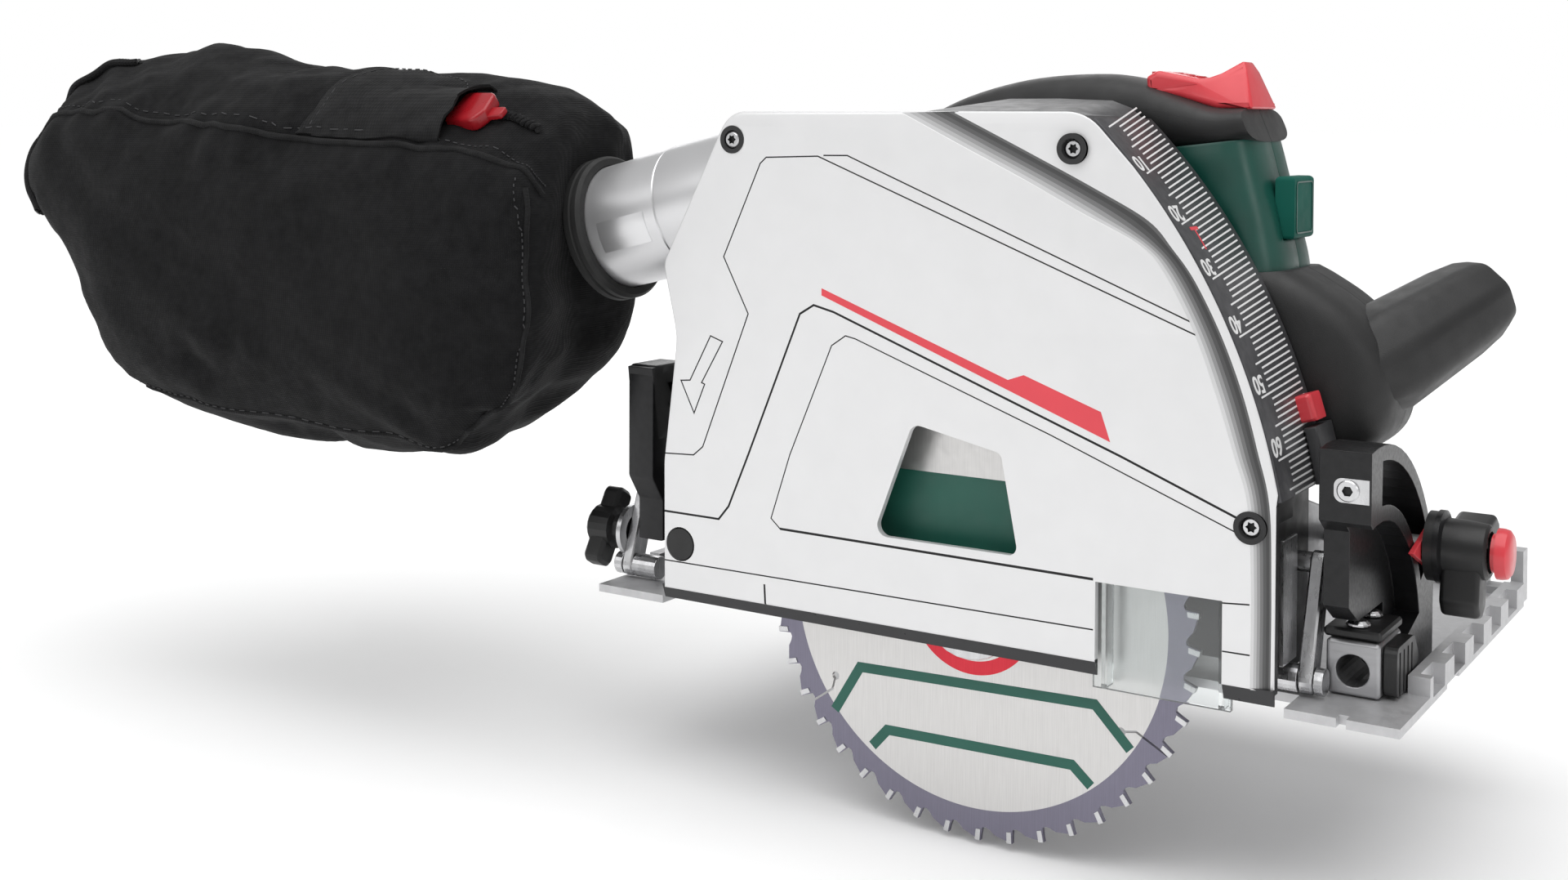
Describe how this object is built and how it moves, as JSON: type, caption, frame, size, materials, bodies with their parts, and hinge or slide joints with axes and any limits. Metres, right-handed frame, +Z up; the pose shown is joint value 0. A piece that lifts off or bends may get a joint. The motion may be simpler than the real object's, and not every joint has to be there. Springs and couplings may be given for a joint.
{
  "type": "track plunge saw",
  "caption": "Corded plunge saw for a guide track: tilting blade guard on a ribbed sole, pivoting motor unit with loop handle, and a fabric dust bag on a metal outlet.",
  "frame": {"origin": "on the sole's lower face, straight below the blade's spindle in the cutting direction and 90 mm to the motor side of the blade", "axes": "+X cutting direction, +Y from the blade towards the motor, +Z up from the sole; the sole's lower face is z = 0"},
  "size_m": [0.6525, 0.237, 0.2895],
  "materials": {
    "base_plate": "satin, die cast, milled edges",
    "front_bevel_segment": "black powder coat on die-cast metal",
    "rear_bevel_segment": "black powder coat on die-cast metal",
    "front_hinge_barrel": "zinc plated",
    "rear_hinge_barrel": "zinc plated",
    "fence_clamp_block": "raw die casting",
    "fence_clamp_cap": "fine grain",
    "fence_screw_1": "zinc plated",
    "fence_screw_2": "zinc plated",
    "fence_lever": "fine grain",
    "guard_shell": "charcoal powder coat",
    "guard_cover": "satin silver paint",
    "depth_scale": "satin with white graduation",
    "cover_screw_1": "zinc plated",
    "cover_screw_2": "zinc plated",
    "cover_screw_3": "zinc plated",
    "front_hinge_arm": "zinc plated",
    "rear_hinge_arm": "zinc plated",
    "front_clamp_bracket": "zinc plated",
    "bevel_pointer": "satin red",
    "plunge_pivot": "blackened",
    "return_spring": "spring steel",
    "front_clamp_knob": "fine grain",
    "undercut_button": "satin red",
    "rear_clamp_knob": "fine grain",
    "depth_stop": "fine grain",
    "depth_stop_button": "satin red",
    "chip_guard": "clear",
    "dust_port": "satin silver",
    "bag_collar": "matt",
    "dust_bag": "matt woven",
    "bag_clip": "satin",
    "gear_housing": "die cast",
    "spindle_bearing": "ground",
    "motor_housing": "satin",
    "stator": "laminated",
    "control_board": "lacquered board",
    "motor_end_cap": "fine grain",
    "rotor_bearing": "ground",
    "handle_right": "soft-grip, fine grain",
    "handle_left": "soft-grip, fine grain",
    "column_right": "satin",
    "column_left": "satin",
    "front_housing_right": "fine grain",
    "front_housing_left": "fine grain",
    "badge_plate": "satin",
    "cable_inlet": "matt",
    "front_grip": "soft-grip, fine grain",
    "trigger": "fine grain",
    "lock_off_slider": "satin red",
    "spindle_lock": "fine grain",
    "speed_dial": "fine grain",
    "spindle": "machined",
    "saw_blade": "ground, grey coated rim",
    "inner_flange": "machined",
    "outer_flange": "machined",
    "blade_bolt": "blackened",
    "layshaft": "machined",
    "rotor": "machined"
  },
  "bodies": {
    "base": {"base_plate": "base_plate", "front_bevel_segment": "front_bevel_segment", "rear_bevel_segment": "rear_bevel_segment", "front_hinge_barrel": "front_hinge_barrel", "rear_hinge_barrel": "rear_hinge_barrel", "fence_clamp_block": "fence_clamp_block", "fence_clamp_cap": "fence_clamp_cap", "fence_screw_1": "fence_screw_1", "fence_screw_2": "fence_screw_2"},
    "fence_lever_body": {"fence_lever": "fence_lever"},
    "guard": {"guard_shell": "guard_shell", "guard_cover": "guard_cover", "depth_scale": "depth_scale", "cover_screw_1": "cover_screw_1", "cover_screw_2": "cover_screw_2", "cover_screw_3": "cover_screw_3", "front_hinge_arm": "front_hinge_arm", "rear_hinge_arm": "rear_hinge_arm", "front_clamp_bracket": "front_clamp_bracket", "bevel_pointer": "bevel_pointer", "plunge_pivot": "plunge_pivot", "return_spring": "return_spring"},
    "front_knob": {"front_clamp_knob": "front_clamp_knob"},
    "undercut": {"undercut_button": "undercut_button"},
    "rear_knob": {"rear_clamp_knob": "rear_clamp_knob"},
    "depth_stop_body": {"depth_stop": "depth_stop"},
    "depth_button": {"depth_stop_button": "depth_stop_button"},
    "chip_guard_body": {"chip_guard": "chip_guard"},
    "port": {"dust_port": "dust_port"},
    "bag": {"bag_collar": "bag_collar", "dust_bag": "dust_bag", "bag_clip": "bag_clip"},
    "motor_unit": {"gear_housing": "gear_housing", "spindle_bearing": "spindle_bearing", "motor_housing": "motor_housing", "stator": "stator", "control_board": "control_board", "motor_end_cap": "motor_end_cap", "rotor_bearing": "rotor_bearing", "handle_right": "handle_right", "handle_left": "handle_left", "column_right": "column_right", "column_left": "column_left", "front_housing_right": "front_housing_right", "front_housing_left": "front_housing_left", "badge_plate": "badge_plate", "cable_inlet": "cable_inlet", "front_grip": "front_grip"},
    "trigger_body": {"trigger": "trigger"},
    "lock_off": {"lock_off_slider": "lock_off_slider"},
    "spindle_lock_body": {"spindle_lock": "spindle_lock"},
    "dial": {"speed_dial": "speed_dial"},
    "spindle_body": {"spindle": "spindle", "saw_blade": "saw_blade", "inner_flange": "inner_flange", "outer_flange": "outer_flange", "blade_bolt": "blade_bolt"},
    "layshaft_body": {"layshaft": "layshaft"},
    "rotor_body": {"rotor": "rotor"}
  },
  "joints": [
    {"name": "guard_tilt", "type": "hinge", "parent": "base", "child": "guard", "pos_m": [0, -0.082, 0.008], "axis": [1, 0, 0], "range_deg": [-1, 46]},
    {"name": "motor_unit_plunge", "type": "hinge", "parent": "guard", "child": "motor_unit", "pos_m": [-0.116, -0.02, 0.025], "axis": [0, -1, 0], "range_deg": [0, 34]},
    {"name": "spindle_turn", "type": "hinge", "parent": "motor_unit", "child": "spindle_body", "pos_m": [0, -0.09, 0.0165], "axis": [0, -1, 0], "continuous": true},
    {"name": "layshaft_turn", "type": "hinge", "parent": "motor_unit", "child": "layshaft_body", "pos_m": [-0.00641, -0.05, 0.03412], "axis": [0, -1, 0], "continuous": true},
    {"name": "rotor_turn", "type": "hinge", "parent": "motor_unit", "child": "rotor_body", "pos_m": [-0.00484, 0, 0.05205], "axis": [0, -1, 0], "continuous": true},
    {"name": "trigger_squeeze", "type": "slide", "parent": "motor_unit", "child": "trigger_body", "axis": [0, 0, 1], "range_m": [0, 0.005], "stiffness_N_per_m": 400},
    {"name": "lock_off_slide", "type": "slide", "parent": "motor_unit", "child": "lock_off", "axis": [0.9957, 0, -0.0926], "range_m": [0, 0.005], "stiffness_N_per_m": 400},
    {"name": "spindle_lock_push", "type": "slide", "parent": "motor_unit", "child": "spindle_lock_body", "axis": [0, 0, -1], "range_m": [0, 0.003], "stiffness_N_per_m": 600},
    {"name": "speed_dial_turn", "type": "hinge", "parent": "motor_unit", "child": "dial", "pos_m": [0.01216, 0.062, 0.06405], "axis": [0, 1, 0], "range_deg": [0, 300]},
    {"name": "depth_stop_slide", "type": "hinge", "parent": "guard", "child": "depth_stop_body", "pos_m": [-0.116, -0.06, 0.025], "axis": [0, -1, 0], "range_deg": [0, 26]},
    {"name": "depth_button_push", "type": "slide", "parent": "depth_stop_body", "child": "depth_button", "axis": [-0.9578, 0, -0.2874], "range_m": [0, 0.002], "stiffness_N_per_m": 500},
    {"name": "front_knob_turn", "type": "hinge", "parent": "guard", "child": "front_knob", "pos_m": [0.15, -0.02811, 0.04435], "axis": [1, 0, 0], "range_deg": [0, 90]},
    {"name": "undercut_push", "type": "slide", "parent": "front_knob", "child": "undercut", "axis": [-1, 0, 0], "range_m": [0, 0.0018], "stiffness_N_per_m": 500},
    {"name": "rear_knob_turn", "type": "hinge", "parent": "guard", "child": "rear_knob", "pos_m": [-0.168, -0.078, 0.0205], "axis": [-1, 0, 0], "range_deg": [0, 90]},
    {"name": "chip_guard_slide", "type": "slide", "parent": "guard", "child": "chip_guard_body", "axis": [0, 0, 1], "range_m": [0, 0.03]},
    {"name": "dust_port_turn", "type": "hinge", "parent": "guard", "child": "port", "pos_m": [-0.15181, -0.0754, 0.14632], "axis": [-0.9703, 0, -0.2419], "range_deg": [-20, 20]},
    {"name": "bag_pull", "type": "slide", "parent": "port", "child": "bag", "axis": [-0.9703, 0, -0.2419], "range_m": [0, 0.05]},
    {"name": "fence_lever_turn", "type": "hinge", "parent": "base", "child": "fence_lever_body", "pos_m": [0.139, -0.05, 0.0115], "axis": [-1, 0, 0], "range_deg": [0, 35]}
  ],
  "couplings": [
    {"joint": "layshaft_turn", "follows": "spindle_turn", "ratio": -1.5},
    {"joint": "rotor_turn", "follows": "spindle_turn", "ratio": 4.5}
  ]
}
